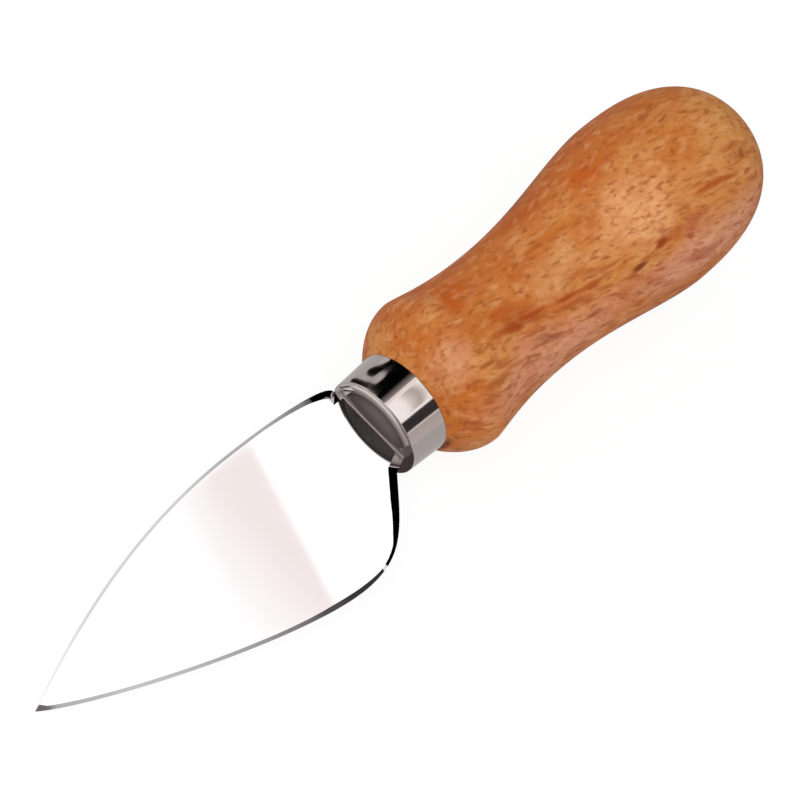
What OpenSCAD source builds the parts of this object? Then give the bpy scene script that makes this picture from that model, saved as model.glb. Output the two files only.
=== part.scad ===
// Small cheese knife: a leaf-shaped steel blade with a hidden tang, a steel cap and a turned wooden
// handle. The knife lies along X with its point towards +X. The blade's flat faces look up and
// down, and the rounded belly edge is towards +Y. The origin is on the handle's axis at the waist,
// where the hand holds it.

/* [Blade] */
// Length of the blade, from the cap to the point
blade_l = 64; // [52:0.5:84]
// Distance from the axis out to the widest place of the rounded belly edge
belly_w = 16.5; // [12:0.1:24]
// Distance from the cap to the widest place of the belly edge
belly_at = 17; // [13:0.5:24]
// Distance from the axis out to the widest place of the straighter back edge
back_w = 10.3; // [9:0.1:16]
// Distance from the cap to the widest place of the back edge
back_at = 20.5; // [13:0.5:26]
// Thickness of the blade
blade_t = 2; // [1.8:0.1:3]
// Thickness left at the very edge, between the two bevels
edge_t = 1.2; // [0.6:0.05:1.6]
// Width of the bevel at the widest place of the belly edge
belly_bevel_w = 0.7; // [0.3:0.05:1.2]
// Width of the bevel at the widest place of the back edge
back_bevel_w = 0.4; // [0.2:0.05:1.2]
// Width of the bevels along the neck
neck_bevel_w = 1.4; // [0.6:0.05:1.8]
// How far the bevels reach back from the point
tip_bevel_l = 0.9; // [0.4:0.05:2]
// How far the bevels reach forward from the ends of the shoulders
shoulder_bevel_l = 0.7; // [0.5:0.05:2]
// Length of the straight neck before the belly's shoulder
belly_neck_l = 1.8; // [0.4:0.1:4]
// Length of the straight neck before the back's shoulder
back_neck_l = 0.3; // [0.2:0.1:4]

/* [Tang] */
// Length of the tang, from the blade's shoulders to its end
tang_l = 42; // [28:1:50]
// Width of the tang
tang_w = 8; // [5:0.1:9.5]
// How much lower the tang's face lies than the blade's, on each side
tang_step = 0.2; // [0.1:0.05:0.4]
// Radius of the notches that key the tang into the adhesive
notch_r = 1.2; // [0.6:0.1:1.6]
// Number of notches along each side of the tang
notch_n = 3; // [1:1:4]
// Distance from one notch to the next
notch_pitch = 7; // [4:0.5:7]
// Distance from the tang's end to its first notch
notch_end = 6; // [4:0.5:8]

/* [Cap] */
// Outside diameter of the cap
cap_d = 16; // [14.5:0.1:18]
// Length of the cap that shows in front of the wood
cap_l = 6.7; // [5:0.1:10]
// Wall thickness of the cap
cap_t = 0.5; // [0.3:0.05:0.7]
// Radius of the cap's rounded front rim
cap_rim_r = 1.2; // [0.8:0.05:1.5]
// Gap all round the tang in the cap's slot
slot_gap = 0.15; // [0.05:0.05:0.3]

/* [Handle] */
// Length of the wood behind the cap
handle_l = 69; // [60:0.5:95]
// Diameter of the front bulb
front_d = 24.3; // [20:0.1:30]
// Distance from the cap back to the front bulb
front_at = 7.4; // [5:0.1:11]
// Diameter of the waist
waist_d = 21.1; // [17:0.1:26]
// Distance from the cap back to the waist
waist_at = 21.8; // [16:0.1:28]
// Diameter of the rear bulb
rear_d = 27.6; // [24:0.1:34]
// Distance from the cap back to the rear bulb
rear_at = 49; // [42:0.5:56]

/* [Bore and adhesive] */
// Gap between the tang's edges and the wall of the bore
bore_gap = 0.6; // [0.3:0.05:1]
// Depth of the bore past the tang's end
bore_end_gap = 1.5; // [0.5:0.1:4]
// Thickness of the adhesive between the wood's tenon and the cap
film_t = 0.2; // [0.1:0.05:0.4]

/* [Hidden] */

// Points along each curved stretch of an outline or profile
curve_n = 20;
// Points along the small arc of the cap's rim
rim_n = 8;
// How far one cut or one joined solid runs past the next
lap = 1;

// The cap's two ends along X
cap_back_x = waist_at;
cap_front_x = cap_back_x + cap_l;

// The neck stops a little inside the cap's side
neck_margin = 0.9;
neck_half = cap_d / 2 - neck_margin;

tang_t = blade_t - 2 * tang_step;
bore_d = tang_w + 2 * bore_gap;
bore_end_x = cap_front_x - tang_l - bore_end_gap;
tenon_d = cap_d - 2 * cap_t;
tenon_l = cap_l - cap_t - film_t;

// Where the inner control points of each of the outline's curves lie, as shares of the way along
// and across from its first end to its last
tip_to_belly_shares = [[0.14, 0.255], [0.743, 1]];
belly_to_neck_shares = [[0.31, 0], [0.69, 0.132]];
neck_to_back_shares = [[0.02, 0.945], [0.718, 1]];
back_to_tip_shares = [[0.415, 0], [0.782, 0.575]];

// How the handle's curves run: 1 is an even wave, and less brings the slope nearer its start
front_wave_share = 0.58;
rear_wave_share = 0.8;
// How full the round end of the handle is: 2 is an ellipse
butt_fullness = 2.55;

function mix(a, b, share) = a + (b - a) * share;

// One point of a curve with four control points
function bezier_point(p, t) =
    pow(1 - t, 3) * p[0] + 3 * pow(1 - t, 2) * t * p[1] + 3 * (1 - t) * pow(t, 2) * p[2] + pow(t, 3) * p[3];

// A curved stretch from a to b, without its last point
function stretch(a, b, shares) =
    let (inner = [for (s = shares) [mix(a[0], b[0], s[0]), mix(a[1], b[1], s[1])]])
    [for (i = [0 : curve_n - 1]) bezier_point([a, inner[0], inner[1], b], i / curve_n)];

// The leaf's outline, drawn in by the given distances at its point, its two sides and its neck
function leaf_outline(tip_cut, belly_cut, back_cut, shoulder_cut, neck_cut) =
    let (
        tip = [blade_l - tip_cut, 0],
        belly = [belly_at, belly_w - belly_cut],
        belly_neck = [belly_neck_l + shoulder_cut, neck_half - neck_cut],
        back_neck = [back_neck_l + shoulder_cut, neck_cut - neck_half],
        back = [back_at, back_cut - back_w]
    )
    concat(
        stretch(tip, belly, tip_to_belly_shares),
        stretch(belly, belly_neck, belly_to_neck_shares),
        [belly_neck],
        stretch(back_neck, back, neck_to_back_shares),
        stretch(back, tip, back_to_tip_shares)
    );

// Half wave that falls from 1 at 0 to 0 at 1
function wave(x, bend_share) = (1 + cos(180 * pow(x, bend_share))) / 2;

// Radius of the wood at a distance u behind the cap
function wood_r(u) =
    u <= front_at ? mix(cap_d, front_d, 1 - pow(1 - u / front_at, 2)) / 2
    : u <= waist_at ? mix(waist_d, front_d, wave((u - front_at) / (waist_at - front_at), front_wave_share)) / 2
    : u <= rear_at ? mix(waist_d, rear_d, wave((rear_at - u) / (rear_at - waist_at), rear_wave_share)) / 2
    : rear_d / 2 * pow(max(0, 1 - pow((u - rear_at) / (handle_l - rear_at), butt_fullness)), 1 / butt_fullness);

// Distances behind the cap at which the profile has a point. They crowd together at the round end.
function wood_places() =
    concat(
        [for (i = [0 : curve_n - 1]) mix(0, front_at, i / curve_n)],
        [for (i = [0 : curve_n - 1]) mix(front_at, waist_at, i / curve_n)],
        [for (i = [0 : curve_n - 1]) mix(waist_at, rear_at, i / curve_n)],
        [for (i = [0 : curve_n]) mix(rear_at, handle_l, sin(90 * i / curve_n))]
    );

// A quarter circle of points from the side of a rim to its flat front
function rim_arc(side_r, front, r) =
    [for (i = [0 : rim_n]) [side_r - r + r * cos(90 * i / rim_n), front - r + r * sin(90 * i / rim_n)]];

// Stands its child, turned about Z, along the knife with its z = 0 at the place x
module along_axis(x) {
    translate([x, 0, 0])
        rotate([0, 90, 0])
            children();
}

// The flat leaf with a bevel on both faces all round
module leaf() {
    hull() {
        linear_extrude(height = edge_t, center = true)
            polygon(leaf_outline(0, 0, 0, 0, 0));
        linear_extrude(height = blade_t, center = true)
            polygon(leaf_outline(tip_bevel_l, belly_bevel_w, back_bevel_w, shoulder_bevel_l, neck_bevel_w));
    }
}

// The straight neck between the cap and the shoulders, with a bevel along each side
module neck() {
    belly_x = belly_neck_l + shoulder_bevel_l;
    back_x = back_neck_l + shoulder_bevel_l;
    face_half = neck_half - neck_bevel_w;
    hull() {
        linear_extrude(height = edge_t, center = true)
            polygon([
                [0, -neck_half],
                [back_neck_l, -neck_half],
                [belly_neck_l, neck_half],
                [0, neck_half]
            ]);
        linear_extrude(height = blade_t, center = true)
            polygon([
                [0, -face_half],
                [back_x, -face_half],
                [back_x + lap, lap - face_half],
                [belly_x + lap, face_half - lap],
                [belly_x, face_half],
                [0, face_half]
            ]);
    }
}

module tang() {
    root_l = min(belly_neck_l, back_neck_l) + shoulder_bevel_l;
    linear_extrude(height = tang_t, center = true)
        difference() {
            translate([-tang_l, -tang_w / 2])
                square([tang_l + root_l, tang_w]);
            for (i = [0 : notch_n - 1], side = [-1, 1])
                translate([notch_end + i * notch_pitch - tang_l, side * tang_w / 2])
                    circle(r = notch_r, $fn = 48);
        }
}

module blade() {
    color("gainsboro")
        translate([cap_front_x, 0, 0])
            union() {
                leaf();
                neck();
                tang();
            }
}

// The drawn cap: an open back, a closed front with a rounded rim, and a slot for the tang
module ferrule() {
    slot_w = tang_w + 2 * slot_gap;
    slot_t = tang_t + 2 * slot_gap;
    inside_front = cap_l - cap_t;
    outer_arc = rim_arc(cap_d / 2, cap_l, cap_rim_r);
    inner_arc = rim_arc(cap_d / 2 - cap_t, inside_front, cap_rim_r - cap_t);
    color("silver")
        difference() {
            along_axis(cap_back_x)
                rotate_extrude($fn = 96)
                    polygon(concat(
                        [[cap_d / 2, 0]],
                        outer_arc,
                        [[0, cap_l], [0, inside_front]],
                        [for (i = [rim_n : -1 : 0]) inner_arc[i]],
                        [[tenon_d / 2, 0]]
                    ));
            translate([cap_front_x - cap_t - lap, -slot_w / 2, -slot_t / 2])
                cube([cap_t + 2 * lap, slot_w, slot_t]);
        }
}

// The turned wood: a profile with a tenon at the front for the cap, and a blind bore for the tang
module handle() {
    color("peru")
        difference() {
            along_axis(cap_back_x)
                rotate_extrude($fn = 96)
                    polygon(concat(
                        [[0, tenon_l]],
                        [[tenon_d / 2 - cap_rim_r, tenon_l]],
                        [[tenon_d / 2, tenon_l - cap_rim_r]],
                        [[tenon_d / 2, 0]],
                        [for (u = wood_places()) [wood_r(u), -u]]
                    ));
            along_axis(bore_end_x)
                cylinder(d = bore_d, h = cap_front_x - bore_end_x, $fn = 64);
        }
}

// The cured adhesive: it fills the bore round the tang and lies as a film behind the cap's front
module tang_adhesive() {
    film_x = cap_back_x + tenon_l;
    color("wheat")
        difference() {
            union() {
                along_axis(bore_end_x)
                    cylinder(d = bore_d, h = film_x + film_t - bore_end_x, $fn = 64);
                along_axis(film_x)
                    cylinder(r = tenon_d / 2 - cap_rim_r, h = film_t, $fn = 96);
            }
            translate([cap_front_x, 0, 0])
                tang();
        }
}

blade();
ferrule();
handle();
tang_adhesive();
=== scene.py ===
# %% [markdown]
# # A small cheese knife
# This lesson dresses a finished CAD model of a small cheese knife: a leaf-shaped steel blade, a
# short steel cap and a turned wooden handle. The CAD model gives every size and place. Blender adds
# finer surfaces and the finishes, so that the knife looks like the real one.
#
# The knife lies along X with its point towards +X. The blade's flat faces look up and down, and the
# rounded belly edge is towards +Y. Lengths are in metres, but where a comment says mm.

# %% Load the model
import math

import bmesh
import bpy
from mathutils import Matrix, Vector
from mathutils.geometry import interpolate_bezier, intersect_line_plane


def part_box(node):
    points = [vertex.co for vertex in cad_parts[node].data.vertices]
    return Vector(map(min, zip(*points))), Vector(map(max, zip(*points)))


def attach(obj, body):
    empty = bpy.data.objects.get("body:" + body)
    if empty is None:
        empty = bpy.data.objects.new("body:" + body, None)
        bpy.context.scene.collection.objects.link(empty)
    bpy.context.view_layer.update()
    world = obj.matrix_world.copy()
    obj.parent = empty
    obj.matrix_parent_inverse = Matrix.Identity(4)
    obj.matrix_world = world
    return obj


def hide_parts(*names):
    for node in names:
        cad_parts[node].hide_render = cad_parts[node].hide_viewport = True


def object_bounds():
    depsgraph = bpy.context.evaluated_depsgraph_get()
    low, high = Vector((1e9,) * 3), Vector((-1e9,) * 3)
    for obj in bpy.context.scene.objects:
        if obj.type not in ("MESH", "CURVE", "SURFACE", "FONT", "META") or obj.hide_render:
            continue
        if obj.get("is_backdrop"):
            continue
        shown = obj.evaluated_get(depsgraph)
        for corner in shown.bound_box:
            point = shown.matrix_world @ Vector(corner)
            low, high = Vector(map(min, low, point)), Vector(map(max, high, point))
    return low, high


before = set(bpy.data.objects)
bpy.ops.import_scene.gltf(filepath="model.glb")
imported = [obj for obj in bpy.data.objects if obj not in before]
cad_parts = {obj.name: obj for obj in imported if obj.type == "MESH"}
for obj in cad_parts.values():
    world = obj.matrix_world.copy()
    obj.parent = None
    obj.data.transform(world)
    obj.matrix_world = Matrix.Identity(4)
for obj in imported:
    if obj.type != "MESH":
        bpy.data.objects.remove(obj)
cad_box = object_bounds()
MM = 0.001
scene = bpy.context.scene
scene.view_settings.view_transform = "Standard"
print("nodes:", sorted(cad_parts))

# %% [markdown]
# ## The camera
# The picture shows the knife lying from the lower left to the upper right, with its point nearer
# the eye than its handle. A long lens stands 60 cm away, as for a small product on a table. Three
# turns place it: one for the knife's slant in the picture, one for how far the point comes towards
# the eye, and one for how far the knife is rolled about its own length.

# %% The camera
VIEW_ROLL = math.radians(-10)
VIEW_TILT = math.radians(26.5)
PICTURE_TURN = math.radians(140)
VIEW_DISTANCE = 0.6
SHIFT_RIGHT, SHIFT_UP = -0.6 * MM, 0.28 * MM
LENS_LENGTH, SENSOR_WIDE = 194.9, 36  # in mm, as on a camera
view_turn = (
    Matrix.Rotation(VIEW_ROLL, 4, "X")
    @ Matrix.Rotation(VIEW_TILT, 4, "Y")
    @ Matrix.Rotation(PICTURE_TURN, 4, "Z")
)
cap_low, cap_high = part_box("ferrule")
view_centre = Vector((cap_low.x, 0, 0))
picture_shift = Vector((SHIFT_RIGHT, SHIFT_UP, VIEW_DISTANCE))

lens = bpy.data.cameras.new("picture_camera")
lens.sensor_width = SENSOR_WIDE
lens.lens = LENS_LENGTH
camera = bpy.data.objects.new("picture_camera", lens)
camera.matrix_world = (
    Matrix.Translation(view_centre) @ view_turn @ Matrix.Translation(picture_shift)
)
scene.collection.objects.link(camera)
scene.camera = camera
print("camera at", [round(v, 3) for v in camera.matrix_world.translation])

# %% [markdown]
# ## Three small helpers
# Colours are written as they look on a screen, so one function turns them to the linear values
# that the shaders work in. One function adds a node with its settings and links. One function
# turns a finished bmesh into an object with smooth faces.

# %% Helpers
TOUCHING = 0.001 * MM  # points nearer than this are merged


def linear(hex_colour):
    """The linear RGBA of an sRGB hex colour such as C87840."""
    parts = [int(hex_colour[i:i + 2], 16) / 255 for i in (0, 2, 4)]
    return [p / 12.92 if p <= 0.04045 else ((p + 0.055) / 1.055) ** 2.4 for p in parts] + [1]


def add_node(tree, kind, inputs=None, **settings):
    """Adds a node. An input is a value, or a socket to link from."""
    node = tree.nodes.new(kind)
    for name, value in settings.items():
        setattr(node, name, value)
    for name, value in (inputs or {}).items():
        if isinstance(value, bpy.types.NodeSocket):
            tree.links.new(value, node.inputs[name])
        else:
            node.inputs[name].default_value = value
    return node


def new_material(name):
    """A material with an empty tree, its output node, and Object coordinates."""
    material = bpy.data.materials.new(name)
    material.use_nodes = True
    tree = material.node_tree
    tree.nodes.clear()
    output = tree.nodes.new("ShaderNodeOutputMaterial")
    place = tree.nodes.new("ShaderNodeTexCoord").outputs["Object"]
    return material, tree, output, place


def finish_piece(shape, name, sharp_angle=None):
    """Makes an object of a bmesh, smooth but for edges sharper than the angle."""
    mesh = bpy.data.meshes.new(name)
    bmesh.ops.remove_doubles(shape, verts=shape.verts, dist=TOUCHING)
    bmesh.ops.recalc_face_normals(shape, faces=shape.faces)
    shape.to_mesh(mesh)
    shape.free()
    mesh.shade_smooth()
    if sharp_angle is not None:
        mesh.set_sharp_from_angle(angle=math.radians(sharp_angle))
    piece = bpy.data.objects.new(name, mesh)
    scene.collection.objects.link(piece)
    print(name, "has", len(mesh.polygons), "faces")
    return piece


# %% [markdown]
# ## The turned handle
# The real handle is turned on a lathe from one piece of hardwood: a small bulb at the cap, a waist
# for the fingers and a larger bulb at the end. A lathe shape is one line of points spun about the
# axis. The line starts deep in the blind bore that takes the tang, runs out round the tenon that
# the cap sits on, follows the two bulbs, and ends on the axis at the butt.

# %% The handle's profile
CAP_D, FRONT_D, WAIST_D, REAR_D = 16 * MM, 24.3 * MM, 21.1 * MM, 27.6 * MM
FRONT_AT, WAIST_AT, REAR_AT, WOOD_L = 7.4 * MM, 21.8 * MM, 49 * MM, 69 * MM
FRONT_WAVE, REAR_WAVE, BUTT_FULLNESS = 0.58, 0.8, 2.55
FRONT_STEPS, MIDDLE_STEPS, BUTT_STEPS = 30, 70, 36


def mix(a, b, share):
    """The value a share of the way from a to b."""
    return a + (b - a) * share


def wave(share, bend):
    """Falls from 1 to 0 as share goes from 0 to 1."""
    return (1 + math.cos(math.pi * share ** bend)) / 2


def wood_radius(u):
    """The wood's radius at a distance u behind the cap."""
    if u <= FRONT_AT:
        return mix(CAP_D, FRONT_D, 1 - (1 - u / FRONT_AT) ** 2) / 2
    if u <= WAIST_AT:
        share = (u - FRONT_AT) / (WAIST_AT - FRONT_AT)
        return mix(WAIST_D, FRONT_D, wave(share, FRONT_WAVE)) / 2
    if u <= REAR_AT:
        share = (REAR_AT - u) / (REAR_AT - WAIST_AT)
        return mix(WAIST_D, REAR_D, wave(share, REAR_WAVE)) / 2
    share = min(1, (u - REAR_AT) / (WOOD_L - REAR_AT))
    return REAR_D / 2 * (1 - share ** BUTT_FULLNESS) ** (1 / BUTT_FULLNESS)


cap_back_x, cap_front_x = cap_low.x, cap_high.x
places = [FRONT_AT * i / FRONT_STEPS for i in range(FRONT_STEPS)]
places += [mix(FRONT_AT, REAR_AT, i / MIDDLE_STEPS) for i in range(MIDDLE_STEPS)]
butt_turns = [math.pi / 2 * i / BUTT_STEPS for i in range(BUTT_STEPS + 1)]
places += [mix(REAR_AT, WOOD_L, math.sin(turn)) for turn in butt_turns]
wood_line = [(cap_back_x - u, wood_radius(u)) for u in places]
print("butt at x =", round(wood_line[-1][0] / MM, 2), "mm")

# %% Spin the handle
TENON_R, TENON_L, TENON_CHAMFER = 7.5 * MM, 6.0 * MM, 1.2 * MM
BORE_R = 4.6 * MM
HANDLE_STEPS = 192
glue_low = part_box("tang_adhesive")[0]
bore_line = [
    (glue_low.x, 0),
    (glue_low.x, BORE_R),
    (cap_back_x + TENON_L, BORE_R),
    (cap_back_x + TENON_L, TENON_R - TENON_CHAMFER),
    (cap_back_x + TENON_L - TENON_CHAMFER, TENON_R),
    (cap_back_x, TENON_R),
]


def spin_line(line, steps):
    """Spins a line of (x, radius) points once round the X axis."""
    shape = bmesh.new()
    verts = [shape.verts.new((x, 0, r)) for x, r in line]
    edges = [shape.edges.new(pair) for pair in zip(verts, verts[1:])]
    bmesh.ops.spin(
        shape, geom=verts + edges, cent=(0, 0, 0), axis=(1, 0, 0),
        angle=2 * math.pi, steps=steps, use_merge=True,
    )
    return shape


handle_shape = spin_line(bore_line + wood_line, HANDLE_STEPS)
handle = finish_piece(handle_shape, "turned_handle", sharp_angle=35)
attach(handle, "root")
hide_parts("handle")

# %% [markdown]
# ## The cap
# The cap is a short cup drawn from thin steel sheet. It narrows a little towards its front, which
# is almost flat with a rounded rim, and its open back meets the wood. It could be a cylinder with
# its edges bevelled, but the taper and the low dome of the front would be hard to keep. So it is
# spun as the handle is, from the line of the cup's own section.

# %% Spin the cap
CAP_T, TAPER, DOME = 0.5 * MM, 0.05, 0.16 * MM
RIM_LONG, RIM_HIGH = 0.34 * MM, 2.2 * MM
INNER_RIM_LONG, INNER_RIM_HIGH = 0.2 * MM, 1.0 * MM
BACK_EDGE_LONG, BACK_EDGE_HIGH = 0.1 * MM, 0.12 * MM
SIDE_PLACES, DOME_SHARES = (0.2 * MM, 3.0 * MM, 6.1 * MM), (0.8, 0.5, 0.2, 0)
CAP_STEPS = 256
cap_r = CAP_D / 2
rim_r = cap_r - TAPER * (cap_front_x - DOME - RIM_LONG - cap_back_x)
edge_r = rim_r - RIM_HIGH


def rim_arc(side_r, front_x, long, high, count=12):
    """A quarter ellipse from the cup's side to its front."""
    turns = [math.pi / 2 * i / count for i in range(count + 1)]
    return [
        (front_x - long + long * math.sin(a), side_r - high + high * math.cos(a)) for a in turns
    ]


outer_line = [(cap_back_x, cap_r - BACK_EDGE_HIGH), (cap_back_x + BACK_EDGE_LONG, cap_r)]
outer_line += [(cap_back_x + u, cap_r - TAPER * u) for u in SIDE_PLACES]
outer_line += rim_arc(rim_r, cap_front_x - DOME, RIM_LONG, RIM_HIGH)
outer_line += [(cap_front_x - DOME * share ** 2, edge_r * share) for share in DOME_SHARES]
inner_x = cap_front_x - DOME - CAP_T
inner_line = [(inner_x, 0)]
inner_line += rim_arc(rim_r - CAP_T, inner_x, INNER_RIM_LONG, INNER_RIM_HIGH)[::-1]
inner_line += [(cap_back_x, cap_r - CAP_T), (cap_back_x, cap_r - BACK_EDGE_HIGH)]
cap = finish_piece(spin_line(outer_line + inner_line, CAP_STEPS), "drawn_cap", sharp_angle=50)
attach(cap, "root")
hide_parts("ferrule")

# %% [markdown]
# ## The blade
# The blade is stamped from 2 mm sheet and thins a little towards its point. Its outline is a leaf
# of four curves, and both faces have a rolled bevel all round, a hair's breadth at the point, wider
# along the rounded belly and widest at the shoulders. The bevel lies between two loops of points:
# an outer one at the edge, and an inner one on the flat face, drawn in from the first by the
# bevel's width. Bridging the loops makes the bevel, so its width can change along the blade, which
# the bevel operator can't do. Below the edge the side leans in a little, down to a lower face that
# is slightly smaller, as on a blade that is finished from above.

# %% The leaf's outline, in mm from the cap's front
BLADE_L, NECK_HALF, BLADE_T, POINT_T = 64.1, 7.28, 2, 1.2
BELLY_NECK, BACK_NECK = Vector((1.9, 6.9)), Vector((0.27, -NECK_HALF))
BELLY, BACK, POINT = Vector((17.1, 16.5)), Vector((20.57, -10.1)), Vector((BLADE_L, 0))
CURVE_POINTS = 49
SUNK, SHOULDER_STEP = -0.5, 1  # how far the neck's end lies in the cap, and how far it steps in


def stretch(a, b, first, second):
    """Points of a curve from a to b, but its last: the shares place its two inner points."""
    inner = [Vector((mix(a.x, b.x, s), mix(a.y, b.y, t))) for s, t in (first, second)]
    return interpolate_bezier(a, inner[0], inner[1], b, CURVE_POINTS)[:-1]


edge_line = stretch(POINT, BELLY, (0.133, 0.281), (0.749, 1))
edge_line += stretch(BELLY, BELLY_NECK, (0.485, 0), (0.663, 0.404))
edge_line += [BELLY_NECK, Vector((SUNK, BELLY_NECK.y - SHOULDER_STEP)), Vector((SUNK, -NECK_HALF))]
edge_line += stretch(BACK_NECK, BACK, (-0.028, 0.788), (0.727, 1))
edge_line += stretch(BACK, POINT, (0.416, 0), (0.78, 0.576))
print("outline points:", len(edge_line))

# %% Draw the outline in by the bevel's width
BEVEL_SLOPE, BEVEL_DROP = math.tan(math.radians(30)), 0.45
BELLY_BEVEL = [
    (0, 1.4), (5, 1.3), (8.5, 0.9), (10, 0.55), (12, 0.45), (14, 0.42), (17, 0.6), (20, 0.68),
    (23, 0.68), (26, 0.58), (31, 0.5), (42, 0.46), (58, 0.46), (BLADE_L, 0.52),
]
BACK_BEVEL = [
    (0, 1.5), (2.6, 1.15), (4, 0.95), (5, 0.85), (8, 0.66), (12, 0.5), (30, 0.45), (50, 0.42),
    (58, 0.3), (BLADE_L, 0.1),
]
UNDERCUT, LOWER_BEVEL, LOWER_LIFT = 0.4, 0.12, 0.1
FACE_POINT_BY, LOWER_EDGE_POINT_BY, LOWER_FACE_POINT_BY = 1.0, 1.4, 1.8
APEX_LEAN, APEX_REACH = 0.3, 0.25
SHARPEST_TURN = 0.3  # keeps the width within bounds where the edge turns sharply


def bevel_width(place):
    """The upper bevel's width at a point of the edge, from the two tables of (x, width)."""
    table = BELLY_BEVEL if place.y >= 0 else BACK_BEVEL
    for (x0, w0), (x1, w1) in zip(table, table[1:]):
        if place.x <= x1:
            return mix(w0, w1, max(0, (place.x - x0) / (x1 - x0)))
    return table[-1][1]


def draw_in(width_at, point_by):
    """The edge line drawn in by a width, with its point moved back by point_by."""
    line, apex = [], Vector((BLADE_L - point_by, -APEX_LEAN * point_by))
    befores, afters = edge_line[-1:] + edge_line, edge_line[1:] + edge_line
    for before, place, after in zip(befores, edge_line, afters):
        sides = [(place - before).normalized(), (after - place).normalized()]
        inward = sum((Vector((-d.y, d.x)) for d in sides), Vector((0, 0))) / 2
        drawn_in = place + inward / max(SHARPEST_TURN, inward.length_squared) * width_at(place)
        if place.x == SUNK:
            drawn_in = Vector((SUNK, place.y - math.copysign(width_at(place), place.y)))
        line.append(apex if drawn_in.x > apex.x - APEX_REACH else drawn_in)
    return line


face_line = draw_in(bevel_width, FACE_POINT_BY)
lower_edge_line = draw_in(lambda place: UNDERCUT, LOWER_EDGE_POINT_BY)
lower_face_line = draw_in(lambda place: UNDERCUT + LOWER_BEVEL, LOWER_FACE_POINT_BY)
print("widest bevel:", round(max((a - b).length for a, b in zip(edge_line, face_line)), 2), "mm")


# %% Bridge the bevels and fill the faces
def face_height(place):
    """Half the blade's thickness, which falls evenly from the cap to the point."""
    return mix(BLADE_T, POINT_T, place.x / BLADE_L) / 2


def add_loop(shape, outline, heights):
    """A closed loop of vertices and edges, each vertex at its own height."""
    verts = [
        shape.verts.new((cap_front_x + p.x * MM, p.y * MM, z * MM))
        for p, z in zip(outline, heights)
    ]
    return [shape.edges.new(pair) for pair in zip(verts, verts[1:] + verts[:1])]


face_heights = [face_height(p) for p in face_line]
edge_heights = [face_height(p) - min(bevel_width(p) * BEVEL_SLOPE, BEVEL_DROP) for p in edge_line]
leaf = bmesh.new()
loops = [
    add_loop(leaf, face_line, face_heights),
    add_loop(leaf, edge_line, edge_heights),
    add_loop(leaf, lower_edge_line, [LOWER_LIFT - face_height(p) for p in lower_edge_line]),
    add_loop(leaf, lower_face_line, [-face_height(p) for p in lower_face_line]),
]
for upper, lower in zip(loops, loops[1:]):
    bmesh.ops.bridge_loops(leaf, edges=upper + lower)
for loop in (loops[0], loops[-1]):
    bmesh.ops.contextual_create(leaf, geom=loop)
print("leaf faces:", len(leaf.faces))

# %% Add the tang
TANG_W, TANG_T, TANG_L, TANG_OVERRUN = 8 * MM, 1.6 * MM, 42 * MM, 1 * MM
NOTCHES, NOTCH_PITCH, NOTCH_END, NOTCH_R = 3, 7 * MM, 6 * MM, 1.2 * MM
NOTCH_STEPS = 12
notch_turns = [math.pi * i / NOTCH_STEPS for i in range(NOTCH_STEPS + 1)]
side = [Vector((cap_front_x + TANG_OVERRUN, TANG_W / 2))]
for place in reversed(range(NOTCHES)):
    middle = cap_front_x - TANG_L + NOTCH_END + place * NOTCH_PITCH
    for a in notch_turns:
        side.append(Vector((middle + NOTCH_R * math.cos(a), TANG_W / 2 - NOTCH_R * math.sin(a))))
side.append(Vector((cap_front_x - TANG_L, TANG_W / 2)))
tang_line = side + [Vector((p.x, -p.y)) for p in reversed(side)]
tang_verts = [leaf.verts.new((p.x, p.y, -TANG_T / 2)) for p in tang_line]
tang_face = leaf.faces.new(tang_verts)
raised = bmesh.ops.extrude_face_region(leaf, geom=[tang_face])["geom"]
raised_verts = [v for v in raised if isinstance(v, bmesh.types.BMVert)]
bmesh.ops.translate(leaf, verts=raised_verts, vec=(0, 0, TANG_T))
blade = finish_piece(leaf, "stamped_blade", sharp_angle=12)
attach(blade, "root")
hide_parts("blade")

# %% [markdown]
# ## The lip of the slot
# Where the blade leaves the cap, the punched slot has a low rounded lip, which shows as a pale line
# across the cap's front. It is a rounded slab with a bevelled front, and the blade passes through.

# %% Raise the lip
LIP_W, LIP_RISE, LIP_DEPTH = 0.2 * MM, 0.14 * MM, 0.4 * MM
SHORT_OF_BACK, SHORT_OF_BELLY = 0.2, 0.7  # in mm, as the outline is
END_ROUND_SHARE, FRONT_ROUND_SHARE = 0.3, 0.9
END_SEGMENTS, FRONT_SEGMENTS = 4, 5
SLACK = 0.01 * MM
lip_half = BLADE_T * MM / 2 + LIP_W
lip_low, lip_high = (SHORT_OF_BACK - NECK_HALF) * MM, (BELLY_NECK.y - SHORT_OF_BELLY) * MM
lip = bmesh.new()
bmesh.ops.create_cube(lip, size=1)
bmesh.ops.scale(lip, verts=lip.verts, vec=(LIP_RISE + LIP_DEPTH, lip_high - lip_low, 2 * lip_half))
middle_x = cap_front_x + (LIP_RISE - LIP_DEPTH) / 2
bmesh.ops.translate(lip, verts=lip.verts, vec=(middle_x, (lip_low + lip_high) / 2, 0))
ends = [e for e in lip.edges if abs(e.verts[0].co.x - e.verts[1].co.x) > SLACK]
bmesh.ops.bevel(
    lip, geom=ends, offset=END_ROUND_SHARE * lip_half, segments=END_SEGMENTS,
    profile=0.5, affect="EDGES", material=-1,
)
front_x = cap_front_x + LIP_RISE
front = [e for e in lip.edges if min(v.co.x for v in e.verts) > front_x - SLACK]
bmesh.ops.bevel(
    lip, geom=front, offset=FRONT_ROUND_SHARE * LIP_W, segments=FRONT_SEGMENTS,
    profile=0.5, affect="EDGES", material=-1,
)
slot_lip = finish_piece(lip, "slot_lip", sharp_angle=50)
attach(slot_lip, "root")

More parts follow.
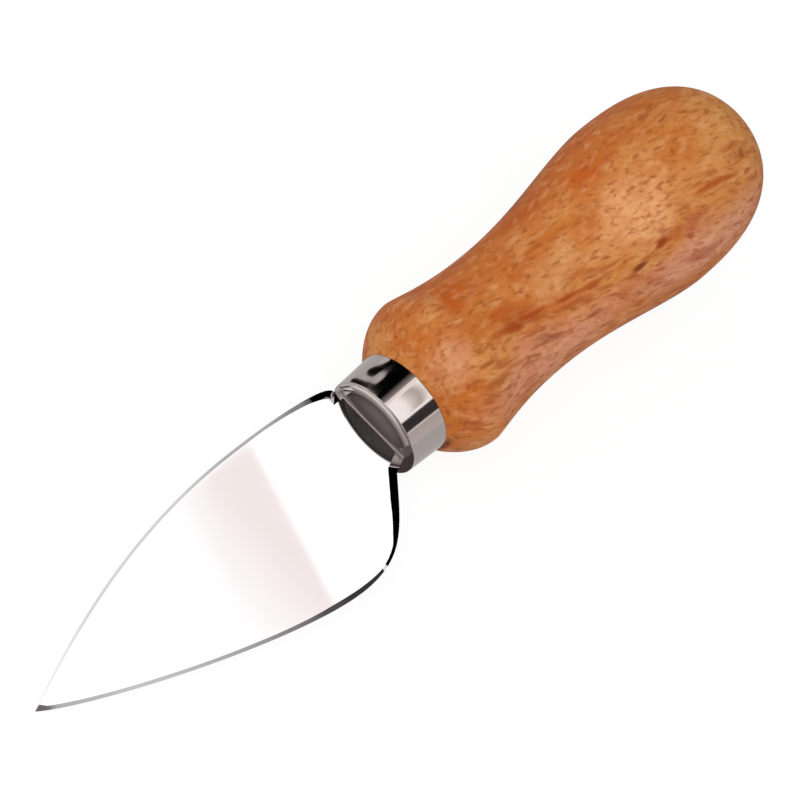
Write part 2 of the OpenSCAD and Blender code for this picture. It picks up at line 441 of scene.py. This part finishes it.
# %% [markdown]
# ## The wood
# The handle is a light tropical hardwood, oiled to a satin sheen. Close up it shows three things:
# broad soft zones of tan, orange and pinkish brown, long red-brown streaks, and countless short
# dark flecks where the wood's open pores are cut. The pinkish brown low on the side is a painted
# sheen, and some paler and darker zones are painted highlight and shade. All of them run with the
# grain, which slants a little across the handle. So each pattern is a 3D noise stretched along one
# grain direction, and where the turned surface cuts across the grain the flecks grow short, as in
# real wood.

# %% The grain's direction
GRAIN_SLANT = math.radians(17)
GRAIN_SIDE = Vector((0, -0.50, 0.866))
grain = Vector((1, 0, 0)) * math.cos(GRAIN_SLANT) + GRAIN_SIDE * math.sin(GRAIN_SLANT)
grain_turn = Vector((1, 0, 0)).rotation_difference(grain).to_euler()
print("grain runs along", [round(v, 2) for v in grain])

# %% Noise that follows the grain
# Turned and oiled rubberwood: a satin surface, so the colours show and the highlights stay weak.
wood, tree, output, place = new_material("oiled_rubberwood_turned")
NOISE_TO_REACH = 4  # noise stays within about a quarter of its middle


def swirled(size, reach):
    """Object coordinates pushed about by up to reach mm, in swirls of size mm."""
    swirl = add_node(
        tree, "ShaderNodeTexNoise", {"Vector": place, "Scale": 1 / (size * MM), "Detail": 1},
    )
    centred = add_node(
        tree, "ShaderNodeVectorMath", {0: swirl.outputs["Color"], 1: (0.5,) * 3},
        operation="SUBTRACT",
    )
    push = add_node(
        tree, "ShaderNodeVectorMath",
        {0: centred.outputs[0], 1: (NOISE_TO_REACH * reach * MM,) * 3}, operation="MULTIPLY",
    )
    pushed = add_node(
        tree, "ShaderNodeVectorMath", {0: place, 1: push.outputs[0]}, operation="ADD",
    )
    return pushed.outputs[0]


def grain_noise(source, length, width, detail=1, offset=0):
    """Noise whose features are length mm along the grain and width mm across it."""
    at = add_node(
        tree, "ShaderNodeMapping",
        {"Vector": source, "Rotation": grain_turn, "Location": (offset * MM,) * 3,
         "Scale": (length * MM, width * MM, width * MM)},
        vector_type="TEXTURE",
    )
    return add_node(
        tree, "ShaderNodeTexNoise",
        {"Vector": at.outputs[0], "Scale": 1, "Detail": detail},
    ).outputs["Fac"]


def span(value, low, high, to_low=0.0, to_high=1.0):
    """Maps low..high smoothly to to_low..to_high."""
    return add_node(
        tree, "ShaderNodeMapRange",
        {"Value": value, "From Min": low, "From Max": high, "To Min": to_low, "To Max": to_high},
        interpolation_type="SMOOTHSTEP",
    ).outputs[0]


def tinted(under, share, tint):
    """The colour under, covered by a share of the tint."""
    layer = add_node(
        tree, "ShaderNodeMix", {0: share, 6: under, 7: linear(tint)}, data_type="RGBA",
    )
    return layer.outputs[2]


lightly, broadly = swirled(7, 0.4), swirled(8, 1.6)
print("wood nodes so far:", len(tree.nodes))

# %% [markdown]
# ## Zones of colour
# On the real handle the colour changes in soft zones: orange near the waist, cream along the
# middle. Some zones are painted light: the cream along the middle is partly a painted highlight
# where the light falls, the pink low on the side is a painted sheen, and darker orange along the
# back flank and the outline is painted shade. Each zone is a long soft ellipsoid between two points
# of the surface, and swirled coordinates give it an uneven edge.

# %% Paint the zones
ZONE_FULL, ZONE_GONE = 0.35, 1.25  # where a zone starts to fade and ends, in its own radii


def zone(start, end, width, strength, source=broadly):
    """1 inside a soft ellipsoid from start to end (mm), fading to 0 outside it."""
    start, end = Vector(start) * MM, Vector(end) * MM
    along = end - start
    at = add_node(
        tree, "ShaderNodeMapping",
        {"Vector": source, "Location": (start + end) / 2,
         "Rotation": Vector((1, 0, 0)).rotation_difference(along).to_euler(),
         "Scale": (along.length / 2, width * MM, width * MM)},
        vector_type="TEXTURE",
    )
    far = add_node(tree, "ShaderNodeVectorMath", {0: at.outputs[0]}, operation="LENGTH")
    return span(far.outputs["Value"], ZONE_FULL, ZONE_GONE, strength, 0)


broad = grain_noise(broadly, 26, 7, offset=11)
colour = tinted(linear("BD6A2C"), span(broad, 0.38, 0.62), "CA8446")
ZONES = [  # tint, strength, start and end in mm, half width in mm
    # pale cream along the top of the rear bulb: partly the wood's tone, partly a painted highlight
    # where the light falls
    ("E0A26E", 0.75, (-27, 2, 13), (-12, 3, 12), 5),
    ("CE9454", 0.7, (-45, 1, 9), (-32, 1, 13), 6),
    # pale along the top of the front bulb and the waist: partly the wood's tone, partly a painted
    # highlight
    ("D0946A", 0.62, (13, 0, 11), (22, 3, 9), 4),
    ("D29A62", 0.6, (-10, -0.5, 11), (1, 3.5, 10), 3.5),
    # painted shade: darker orange along the back flank near the cap, where the surface turns from
    # the light
    ("B25A22", 0.55, (-1, -9.5, 7), (20, -9.5, 7), 3.2),
    # the wood's own orange-red blotches
    ("BC5512", 0.85, (-22, -7, 11.5), (-14, -5, 10.5), 3),
    ("B84E10", 0.8, (6, -6, 9), (13, -4, 11), 3.2),
    ("B2501A", 0.7, (4.5, 1.5, 10.6), (9.5, 1.8, 11), 1.6),
    # painted shade: deeper orange along the whole back flank, where the surface turns from the
    # light
    ("B45410", 0.8, (-40, -11, 5), (20, -10, 5), 4.5),
    # painted sheen: pink along the low belly side, a pale reflection where the surface turns away
    ("CE9072", 0.85, (-42, 11, 5), (-11, 11, 6), 4.8),
    ("CE8C6E", 0.8, (-14, 9, 5), (19, 10, 6), 4.5),
    # painted shade: dark bands along the outline on the back and belly sides
    ("8E4614", 0.6, (-44, -13.5, 1.5), (20, -11, 1.5), 2.6),
    ("98543A", 0.55, (-44, 13.5, -2.5), (20, 10.5, -2), 2.6),
]
for tint, strength, start, end, width in ZONES:
    colour = tinted(colour, zone(start, end, width, strength), tint)
print("wood zones:", len(ZONES))

# %% [markdown]
# ## Mottle, pores and streaks
# Over the zones lie smaller marks. Pale and dark mottle, dashes along the lower side and the
# flecks of open pores are noise, each with its own length and width. The streaks are different:
# the eye knows this handle by them, so each is set in its own place, as a very thin zone. Most of
# their ends were read by hand off the picture and turned into mm on the wood by a measuring script.

# %% Mottle and pores
MOTTLE = [  # length and width in mm, detail, offset, start and end of the fade, strength, tint
    (2.6, 1.3, 1, 47, 0.45, 0.8, 0.34, "E2AE7A"),
    (4.2, 1.8, 2, 131, 0.46, 0.78, 0.4, "AE5A24"),
    (1.4, 0.6, 1, 211, 0.48, 0.8, 0.4, "98501C"),
]
for length, width, detail, offset, low, high, strength, tint in MOTTLE:
    mark = grain_noise(lightly, length, width, detail, offset)
    colour = tinted(colour, span(mark, low, high, 0, strength), tint)

LOWER_FROM, LOWER_TO = 0.5 * MM, 8 * MM
sides = add_node(tree, "ShaderNodeSeparateXYZ", {0: place}).outputs
lower = span(sides["Y"], LOWER_FROM, LOWER_TO, 0.1, 0.7)
dash = span(grain_noise(lightly, 6, 1.0, offset=83), 0.52, 0.74)
low_dash = add_node(tree, "ShaderNodeMath", {0: dash, 1: lower}, operation="MULTIPLY")
colour = tinted(colour, low_dash.outputs[0], "A04A24")
pore = grain_noise(lightly, 1.9, 0.75, offset=5)
colour = tinted(colour, span(pore, 0.51, 0.78, 0, 0.7), "984C1E")
print("mottle layers:", len(MOTTLE))

# %% Streaks, and one painted shade
STREAKS_AND_PAINTED_SHADE = [  # as the zones
    ("9E3E12", 0.85, (6, 3.5, 10.2), (0, 4.5, 9.5), 0.5),
    ("9E3E12", 0.85, (0.9, 4.4, 9.6), (-6.2, 5.7, 9.2), 0.5),
    ("A04418", 0.8, (-5, 5.5, 9.2), (-10.5, 6.4, 9.3), 0.5),
    ("A44E26", 0.7, (12, 2.8, 11.4), (5, 4.3, 9.9), 0.5),
    ("A44E26", 0.75, (6, 4, 10.1), (-1, 5.6, 9), 0.5),
    ("A44E26", 0.7, (0, 5.4, 9), (-8, 7.3, 8.2), 0.5),
    ("A84818", 0.85, (-26.6, 6.2, 12.3), (-37, 7.2, 10.7), 0.6),
    ("A8522A", 0.6, (-18.4, 7.7, 10), (-24, 8.5, 10.3), 0.9),
    ("A8522A", 0.6, (-22.8, 8.5, 10.3), (-29.3, 8.7, 10.7), 1),
    ("923612", 0.85, (-18, 8, 9.8), (-20.8, 8.1, 10.3), 0.75),
    ("722A0C", 0.9, (-13.6, 8.1, 8.6), (-16.8, 8.3, 9.1), 0.6),
    ("A05038", 0.6, (-20.5, 11.2, 6.6), (-30.5, 12.7, 5.3), 1.1),
    ("A44E22", 0.6, (-6.3, 3.8, 10.1), (-11.4, 5.9, 9.8), 0.8),
    ("964426", 0.65, (-4.4, 8.4, 6.6), (-7.8, 9.2, 6), 0.5),
    ("A04A1C", 0.6, (9.4, 2.5, 10.9), (1.7, 3.4, 10), 0.7),
    ("96380E", 0.7, (8.9, 3.3, 10.7), (4.6, 4.5, 9.7), 0.9),
    ("8E4434", 0.5, (5.3, 6.6, 8.5), (0.4, 8.5, 6.3), 0.9),
    ("98441C", 0.65, (16.4, 7.7, 9), (10.6, 7.5, 8.6), 0.8),
    ("98441C", 0.55, (16, 5.3, 10.7), (11, 4.9, 10.4), 0.6),
    ("A2581E", 0.5, (-29.2, -12.2, 6.5), (-35, -7.3, 11.1), 0.9),
    ("8C4A18", 0.7, (-37.9, 5.8, 11.2), (-39.5, 5.8, 10.6), 0.7),
    # painted shade: a dark patch on the wood's front face, where the cap shades it
    ("4A1E08", 0.7, (21.7, 8.3, 2), (21.7, 7.6, -4), 1.0),
]
for tint, strength, start, end, width in STREAKS_AND_PAINTED_SHADE:
    colour = tinted(colour, zone(start, end, width, strength, lightly), tint)
print("wood nodes:", len(tree.nodes))

# %% The wood's sheen and relief
PORE_DEPTH, FIBRE_SHARE, BUMP_STRENGTH = 0.05 * MM, 0.35, 0.3
fibre = grain_noise(place, 6, 0.2, offset=29)
pits = span(pore, 0.5, 0.7, 0, -1)
height = add_node(
    tree, "ShaderNodeMath", {0: fibre, 1: FIBRE_SHARE, 2: pits}, operation="MULTIPLY_ADD",
)
bump = add_node(
    tree, "ShaderNodeBump",
    {"Height": height.outputs[0], "Strength": BUMP_STRENGTH, "Distance": PORE_DEPTH},
)
shader = add_node(
    tree, "ShaderNodeBsdfPrincipled",
    {"Base Color": colour, "Roughness": span(fibre, 0.3, 0.7, 0.5, 0.62), "IOR": 1.45,
     "Specular IOR Level": 0.12, "Normal": bump.outputs[0]},
)
tree.links.new(shader.outputs[0], output.inputs[0])
handle.data.materials.append(wood)
print("wood done:", wood.name)

# %% [markdown]
# ## The steel
# All the steel is stainless, and a metal's look is almost all reflection. So one small recipe
# serves four finishes: a metallic surface whose roughness wanders between two values. The blade is
# polished to a mirror. The cap's side is bright from its drawing, with very fine lines round it.
# Its front was pressed flat and is satin, and the slot's punched lip is dull. The marks are drawn
# coarser than real polishing marks, which would be too fine to show.

# %% One recipe for steel
def steel_finish(name, tint, marks, detail, smoothest, roughest):
    """Steel with a roughness that wanders between two values, in marks of (x, y, z) mm."""
    steel, tree, output, place = new_material(name)
    at = add_node(
        tree, "ShaderNodeMapping", {"Vector": place, "Scale": [size * MM for size in marks]},
        vector_type="TEXTURE",
    )
    noise = add_node(
        tree, "ShaderNodeTexNoise", {"Vector": at.outputs[0], "Scale": 1, "Detail": detail},
    )
    rough = add_node(
        tree, "ShaderNodeMapRange",
        {"Value": noise.outputs["Fac"], "To Min": smoothest, "To Max": roughest},
    )
    shader = add_node(
        tree, "ShaderNodeBsdfPrincipled",
        {"Base Color": linear(tint), "Metallic": 1, "Roughness": rough.outputs[0]},
    )
    tree.links.new(shader.outputs[0], output.inputs[0])
    print(name, "has a roughness of", smoothest, "to", roughest)
    return steel


# %% Four finishes
# A mirror, so the blade's face shows the studio sharply and its bevels read as lines.
blade.data.materials.append(
    steel_finish("stainless_steel_mirror_polished", "DEDEDF", (8.33, 8.33, 8.33), 3, 0.02, 0.05)
)
# Nearly a mirror, with marks drawn out round the cap, which soften the edges of its reflections.
cap.data.materials.append(
    steel_finish("stainless_steel_bright_drawn", "C8BEBA", (0.167, 6.67, 6.67), 2, 0.07, 0.1)
)
# Satin, so the cap's front reads as an even grey disc.
cap.data.materials.append(
    steel_finish("stainless_steel_satin_pressed", "B0A6A4", (2, 2, 2), 3, 0.16, 0.24)
)
# Dull, so the lip is a soft pale line.
slot_lip.data.materials.append(
    steel_finish("stainless_steel_dull_punched", "B4AAA8", (1.11, 1.11, 1.11), 2, 0.32, 0.45)
)

# %% Give the cap's front its own finish
FRONT_DEPTH = 1.05 * DOME
front_faces = [
    face for face in cap.data.polygons
    if min(cap.data.vertices[i].co.x for i in face.vertices) > cap_front_x - FRONT_DEPTH
]
for face in front_faces:
    face.material_index = 1
print("front faces:", len(front_faces))

# %% [markdown]
# ## The adhesive
# Cured epoxy fills the bore round the tang. It is out of sight, so its own CAD node is used as it
# is, and only gets a finish.

# %% Cured adhesive
# Cast and cured epoxy: smooth, and a cloudy amber.
CLOUD_SIZE = 1.43 * MM
glue, tree, output, place = new_material("epoxy_cured_amber")
cloud = add_node(
    tree, "ShaderNodeTexNoise", {"Vector": place, "Scale": 1 / CLOUD_SIZE, "Detail": 2},
)
amber = add_node(
    tree, "ShaderNodeMix",
    {0: cloud.outputs["Fac"], 6: linear("D8C48C"), 7: linear("B89A58")}, data_type="RGBA",
)
shader = add_node(
    tree, "ShaderNodeBsdfPrincipled",
    {"Base Color": amber.outputs[2], "Roughness": 0.35, "IOR": 1.55},
)
tree.links.new(shader.outputs[0], output.inputs[0])
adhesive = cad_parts["tang_adhesive"]
if adhesive.material_slots:
    adhesive.material_slots[0].material = glue
else:
    adhesive.data.materials.append(glue)
print("finished:", adhesive.name)

# %% [markdown]
# ## The floor
# The knife lies on a pale table, on its rear bulb and its point. The floor is a plane that touches
# both. To the eye it is plain white, and it keeps a faint soft shadow. In the steel it is a pale
# grey, a painted shade for the softer light near the knife.

# %% Lay the floor
FLOOR_HALF, FLOOR_GAP = 2, 0.05 * MM
tip_x, tip_z = cap_front_x + BLADE_L * MM, -POINT_T / 2 * MM
slope = max((tip_z + r) / (tip_x - x) for x, r in wood_line)
floor_shape = bmesh.new()
bmesh.ops.create_grid(floor_shape, x_segments=1, y_segments=1, size=FLOOR_HALF)
floor_turn = (
    Matrix.Translation((tip_x, 0, tip_z - FLOOR_GAP)) @ Matrix.Rotation(-math.atan(slope), 4, "Y")
)
bmesh.ops.transform(floor_shape, matrix=floor_turn, verts=floor_shape.verts)
floor = finish_piece(floor_shape, "pale_floor")
if floor.data.polygons[0].normal.z < 0:
    floor.data.flip_normals()
floor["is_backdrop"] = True
print("floor slopes", round(math.degrees(math.atan(slope)), 2), "degrees")

# %% The floor's white paper
# Matte paper. Its own white shows to the eye, the matte part under it catches the shadow. To the
# steel it glows a paler grey, a painted shade.
# the last value is a painted shade: how bright the floor glows in reflections, a grey for the
# softer light near the knife
WHITE_SHARE, WHITE_TO_EYE, FLOOR_SHADE_IN_STEEL = 0.88, 1.03, 0.55


def seen_white(tree, rays):
    """1 for the rays that should find plain white: the eye's, and those off steel or in glass."""
    kinds = [rays["Is Camera Ray"], rays["Is Glossy Ray"], rays["Is Transmission Ray"]]
    seen = kinds[0]
    for kind in kinds[1:]:
        seen = add_node(
            tree, "ShaderNodeMath", {0: seen, 1: kind}, operation="MAXIMUM",
        ).outputs[0]
    return seen


paper, tree, output, place = new_material("white_paper_matte")
rays = add_node(tree, "ShaderNodeLightPath").outputs
share = add_node(
    tree, "ShaderNodeMath", {0: seen_white(tree, rays), 1: WHITE_SHARE}, operation="MULTIPLY",
)
level = add_node(
    tree, "ShaderNodeMapRange",
    {"Value": rays["Is Camera Ray"], "To Min": FLOOR_SHADE_IN_STEEL, "To Max": WHITE_TO_EYE},
)
matte = add_node(tree, "ShaderNodeBsdfDiffuse", {"Color": linear("F4F4F4")})
white = add_node(tree, "ShaderNodeEmission", {"Color": (1, 1, 1, 1), "Strength": level.outputs[0]})
paper_mix = add_node(
    tree, "ShaderNodeMixShader", {0: share.outputs[0], 1: matte.outputs[0], 2: white.outputs[0]},
)
tree.links.new(paper_mix.outputs[0], output.inputs[0])
floor.data.materials.append(paper)
print("floor's finish:", paper.name)

# %% [markdown]
# ## The light
# Plain soft light comes from a pale world and three large lamps. The lamps stay out of the steel,
# whose reflections are left to the cards below.

# %% The world
ROOM_LIGHT, BACKDROP_WHITE = 0.38, 1.0
world = bpy.data.worlds.new("pale_studio")
scene.world = world
world.use_nodes = True
tree = world.node_tree
tree.nodes.clear()
rays = add_node(tree, "ShaderNodeLightPath").outputs
room = add_node(tree, "ShaderNodeBackground", {"Color": (1, 1, 1, 1), "Strength": ROOM_LIGHT})
backdrop = add_node(
    tree, "ShaderNodeBackground", {"Color": (1, 1, 1, 1), "Strength": BACKDROP_WHITE},
)
both = add_node(
    tree, "ShaderNodeMixShader",
    {0: seen_white(tree, rays), 1: room.outputs[0], 2: backdrop.outputs[0]},
)
add_node(tree, "ShaderNodeOutputWorld", {0: both.outputs[0]})
print("room light:", ROOM_LIGHT)

# %% Three soft lamps
LAMPS_AIM = Vector((0.02, 0, 0))
LAMPS = {  # place in metres, size in metres, watts
    "front_softbox": ((0.45, 0.15, 0.95), 0.7, 7.2),
    "belly_side_softbox": ((-0.5, 0.7, 0.7), 0.6, 1.5),
    "back_side_softbox": ((-0.2, -0.8, 0.6), 0.6, 2.2),
}
for name, (position, size, power) in LAMPS.items():
    lamp = bpy.data.lights.new(name, "AREA")
    lamp.size = size
    lamp.energy = power
    holder = bpy.data.objects.new(name, lamp)
    holder.location = position
    holder.rotation_euler = (LAMPS_AIM - Vector(position)).to_track_quat("-Z", "Y").to_euler()
    holder.visible_glossy = False
    scene.collection.objects.link(holder)
print("lamps:", len(LAMPS))

# %% [markdown]
# ## Cards for the steel
# Polished steel has no look of its own: it shows what stands round it. A photographer places white,
# grey and black cards about a knife for that, and so does this studio. Each card is a flat piece
# that glows a little, in one colour or fading from corner to corner, and only reflections see it.
# Painting the reflections on the steel would be simpler, but they wouldn't move with the eye.

# %% A card that only reflections see
BLACK, WHITE = "000000", "FFFFFF"


def add_card(name, corners, colours, strength=1.0):
    """A flat card seen by reflections alone: one colour, or a colour for each corner."""
    if isinstance(colours, str):
        colours = [colours] * len(corners)
    shape = bmesh.new()
    shape.faces.new([shape.verts.new(c) for c in corners])
    card = finish_piece(shape, name)
    shade = card.data.color_attributes.new("shade", "FLOAT_COLOR", "POINT")
    for point, colour in zip(shade.data, colours):
        point.color = linear(colour)
    material, tree, output, _ = new_material(name + "_paint")
    paint = add_node(tree, "ShaderNodeVertexColor", layer_name="shade")
    glow = add_node(tree, "ShaderNodeEmission", {"Color": paint.outputs[0], "Strength": strength})
    tree.links.new(glow.outputs[0], output.inputs[0])
    card.data.materials.append(material)
    for kind in ("camera", "diffuse", "shadow", "transmission", "volume_scatter"):
        setattr(card, "visible_" + kind, False)
    card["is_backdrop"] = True
    return card


def round_axis(angle, radius, x):
    """A point round the knife's axis. Angle 0 is towards the eye, and grows to the belly side."""
    turn = math.radians(angle) - VIEW_ROLL
    return Vector((x, radius * math.sin(turn), radius * math.cos(turn)))


def strip_card(name, from_angle, to_angle, radius, stops, strength=1.0):
    """A card along the knife. Each stop is (x, colour), or (x, colour, colour at to_angle)."""
    near = [round_axis(from_angle, radius, stop[0]) for stop in stops]
    far = [round_axis(to_angle, radius, stop[0]) for stop in stops]
    shades = [stop[1] for stop in stops] + [stop[-1] for stop in reversed(stops)]
    return add_card(name, near + far[::-1], shades, strength)


# %% [markdown]
# ## Cards round the knife
# These stand round the knife's length like staves of a barrel. A nearer card covers a farther one,
# so their distances step from 0.45 m to 0.58 m. The white one above lights the blade's face, and
# the long ones at the sides give the bevels their fading lines. Behind the handle an arch of black
# cards draws the black line at the neck. Their angles and shades were tuned for the picture's view,
# and from others the steel may look different: from the point's side the blade is almost black.

# %% The shades along the cards
BACK_END, FRONT_END = -0.27, 0.2  # of the cards above, in metres along the knife
BY_THE_EYE = [
    (0.10, "161214", "8E8889"), (0.21, "181416", "867F80"), (0.24, "342C2E"), (0.256, "4A4244"),
    (0.275, "807676"), (0.29, "A49A98"), (0.31, "B8B0AE"), (0.34, "D8D0CE"), (0.42, "F8F2F0"),
]
BELLY_SIDE = [
    (-0.275, "3A3638"), (-0.09, "423E40"), (-0.06, "635E60"), (0, "A8A2A4"), (0.03, "C6C2C3"),
    (0.06, "D8D5D6"), (0.09, "E4E2E3"), (0.11, "D6D4D5"), (0.155, "CCCACA"), (0.17, "9E9A9A"),
    (0.3, "807C7C"),
]
BY_THE_POINT = [(0.12, "A8A4A4"), (0.3, "807C7C")]
BACK_SIDE = [
    (-0.62, BLACK), (-0.33, BLACK), (-0.24, "A4A0A0"), (-0.17, "CFCDCD"), (0.0, "DEDCDC"),
    (0.04, "F2F2F2"), (0.08, WHITE),
]
print("stops along the belly side:", len(BELLY_SIDE))


def evenly(back, front, *shade):
    """Two stops of the same shade, or of the same pair of shades."""
    return [(back, *shade), (front, *shade)]


# %% Set up the cards round the knife
STRIP_CARDS = {  # from angle, to angle, distance in metres, stops, strength
    "white_card_above": (-23, 29, 0.5, evenly(BACK_END, FRONT_END, WHITE), 1.5),
    "shaded_card_above": (-37, -22, 0.51, evenly(BACK_END, FRONT_END, "020101", "A69E9C"), 1.2),
    "black_card_above": (-46, -36.8, 0.51, evenly(BACK_END, FRONT_END, BLACK), 0),
    "dark_card_by_the_eye": (-30, 28, 0.45, BY_THE_EYE, 1),
    "shaded_strip_belly_side": (30, 53, 0.48, BELLY_SIDE, 1),
    "shaded_strip_by_the_point": (25, 31, 0.47, BY_THE_POINT, 1),
    "pale_card_back_side": (-68, -44, 0.5, evenly(BACK_END, 0, "A8A09C"), 1),
    "shaded_card_back_side": (-112, -68, 0.52, BACK_SIDE, 1.25),
    "black_arch_behind_0": (-82, -32, 0.58, evenly(-0.95, -0.29, BLACK), 0),
    "black_arch_behind_50": (-32, 28.2, 0.58, evenly(-0.95, -0.29, BLACK), 0),
    "black_arch_behind_112": (30, 68, 0.58, evenly(-0.95, -0.4, BLACK), 0),
    "grey_card_belly_side": (56, 110, 0.5, evenly(-0.5, 0.2, "D2CBC8", "E4E0DE"), 1),
}
for name, (from_angle, to_angle, radius, stops, strength) in STRIP_CARDS.items():
    strip_card(name, from_angle, to_angle, radius, stops, strength)
print("cards round the knife:", len(STRIP_CARDS))

# %% [markdown]
# ## Cards across the knife
# One shaded card stands before the point and a black one behind the handle, for the cap's front and
# the line at the neck. A small dark card just under the neck is a painted shade: in the cap's front
# it stands for the shadowed floor under the neck, in place of the floor's white.

# %% Set up the cards across the knife
def wall_card(name, x, places, colours, strength=1.0):
    """A card across the knife at one x, with corners (y, z)."""
    return add_card(name, [(x, y, z) for y, z in places], colours, strength)


FRONT_LOW, FRONT_HIGH = -0.1, 1.0
FRONT_SHADES = {-0.9: WHITE, -0.12: WHITE, -0.02: "928A88", 0.6: "6A6260"}  # by y
front_places = [(y, FRONT_LOW) for y in FRONT_SHADES]
front_places += [(y, FRONT_HIGH) for y in reversed(FRONT_SHADES)]
front_shades = [*FRONT_SHADES.values()] + [*FRONT_SHADES.values()][::-1]
wall_card("shaded_card_in_front", 0.9, front_places, front_shades, 1.7)
FLAG_IN_FRONT = [(-1.3, 0.3), (-0.45, 0.3), (-0.45, 0.68), (-1.3, 1.12)]
wall_card("black_flag_in_front", 0.88, FLAG_IN_FRONT, BLACK, 0)
FLAG_BEHIND = [(-0.85, -0.2), (0.85, -0.2), (0.85, 1.2), (-0.85, 1.2)]
wall_card("black_flag_behind", -0.8, FLAG_BEHIND, BLACK, 0)

# painted shade in the cap's reflection: a dark card where the floor lies in the knife's shadow
NECK_CARD_Z = -7.5 * MM
UNDER_NECK = [(28.5, -4), (60, -4), (60, 25), (28.5, 25)]  # (x, y) in mm
neck_corners = [(x * MM, y * MM, NECK_CARD_Z) for x, y in UNDER_NECK]
add_card("dark_card_under_the_neck", neck_corners, "4E4648")
SIDE_Y = 0.6
SIDE_WALL = [(0.15, -0.05), (0.9, -0.05), (0.9, 0.35), (0.15, 0.35)]  # (x, z)
add_card("dark_card_belly_front", [(x, SIDE_Y, z) for x, z in SIDE_WALL], "2A2426")

# %% [markdown]
# ## Cards placed by what the steel shows
# Three reflections have a shape of their own: a hooked black one and a grey stripe on the cap, and
# a faint pink band on the blade. Each is wanted at a known spot on the steel, so the card is found
# backwards: the eye's ray goes to the spot, turns back off the steel, and meets the card's plane.
# The black one's corners were read by hand off the picture, and most were turned into angles and
# mm on the cap by a measuring script.

# %% Follow the eye's ray off the steel
def seen_on(card_angle, radius, place, normal):
    """Where the eye's ray, turned back by the steel at a place, meets a flat card."""
    sight = (place - camera.matrix_world.translation).normalized().reflect(normal)
    middle = round_axis(card_angle, radius, 0)
    return intersect_line_plane(place, place + sight, middle, middle)


def seen_in_cap(card_angle, radius, spots):
    """Card corners for spots on the cap, each an angle round it and mm in front of the wood."""
    corners = []
    for angle, ahead in spots:
        outward = round_axis(angle, 1, 0)
        place = outward * (cap_r - TAPER * ahead * MM) + Vector((cap_back_x + ahead * MM, 0, 0))
        normal = (outward + Vector((TAPER, 0, 0))).normalized()
        corners.append(seen_on(card_angle, radius, place, normal))
    return corners


def seen_in_blade(card_angle, radius, spots):
    """Card corners for spots (x, y) in mm on the blade's upper face."""
    up = Vector(((BLADE_T - POINT_T) / 2 / BLADE_L, 0, 1)).normalized()
    places = [Vector((x, y, face_height(Vector((x, y))))) for x, y in spots]
    neck = Vector((cap_front_x, 0, 0))
    return [seen_on(card_angle, radius, place * MM + neck, up) for place in places]


# %% The shapes on the cap
BLACK_SHAPE_AT, STRIPE_AT = (-100, 0.022), (0, 0.026)  # angle and distance in metres
BLACK_SHAPE = [
    (-49.7, -0.5), (-46.3, 0.5), (-45, 1.2), (-48.2, 1.9), (-53.3, 2.4), (-57.2, 3.0), (-56.3, 3.6),
    (-51.3, 4.2), (-45.7, 4.2), (-43, 3.8), (-42.8, 3.1), (-41.1, 2.7), (-37.1, 2.6), (-33.6, 3.0),
    (-33.2, 3.6), (-33.7, 4.3), (-34.2, 4.7), (-39.2, 5.0), (-46.8, 5.2), (-54.6, 5.25), (-66, 5.4),
    (-63, 6.4), (-50.7, 7.4), (-20, 7.4), (-20, -0.8),
]
add_card("black_shape_by_the_cap", seen_in_cap(*BLACK_SHAPE_AT, BLACK_SHAPE), BLACK, 0)
STRIPE = {1.5: WHITE, 2.5: "A69D9A", 3.6: "A69D9A", 4.6: WHITE}  # mm in front of the wood
STRIPE_FROM, STRIPE_TO = -7.5, 12.5
stripe_spots = [(STRIPE_FROM, u) for u in STRIPE] + [(STRIPE_TO, u) for u in reversed(STRIPE)]
stripe_shades = [*STRIPE.values()] + [*STRIPE.values()][::-1]
add_card("grey_stripe_above", seen_in_cap(*STRIPE_AT, stripe_spots), stripe_shades, 1.5)

# %% The band on the blade
BAND_AT = (-20, 0.4)
BAND = {
    (14.9, -9.5): "EEE1DF", (22.9, 16.4): "EEE1DF", (29, 15): "EEE3E0",
    (37, 13): WHITE, (31, -9.5): WHITE, (22, -9.5): "EEE3E0",
}
add_card("blush_band_above", seen_in_blade(*BAND_AT, BAND), [*BAND.values()], 1.42)

# %% [markdown]
# ## The boxes, measured
# The knife with its dress on should fill the same box as the CAD model, so both are measured.

# %% Measure and finish
size = {"cad_box": [[v for v in corner] for corner in cad_box]}
size["visual_box"] = [[v for v in corner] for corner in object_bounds()]
print("visual box (mm):", [[round(v / MM, 2) for v in corner] for corner in size["visual_box"]])
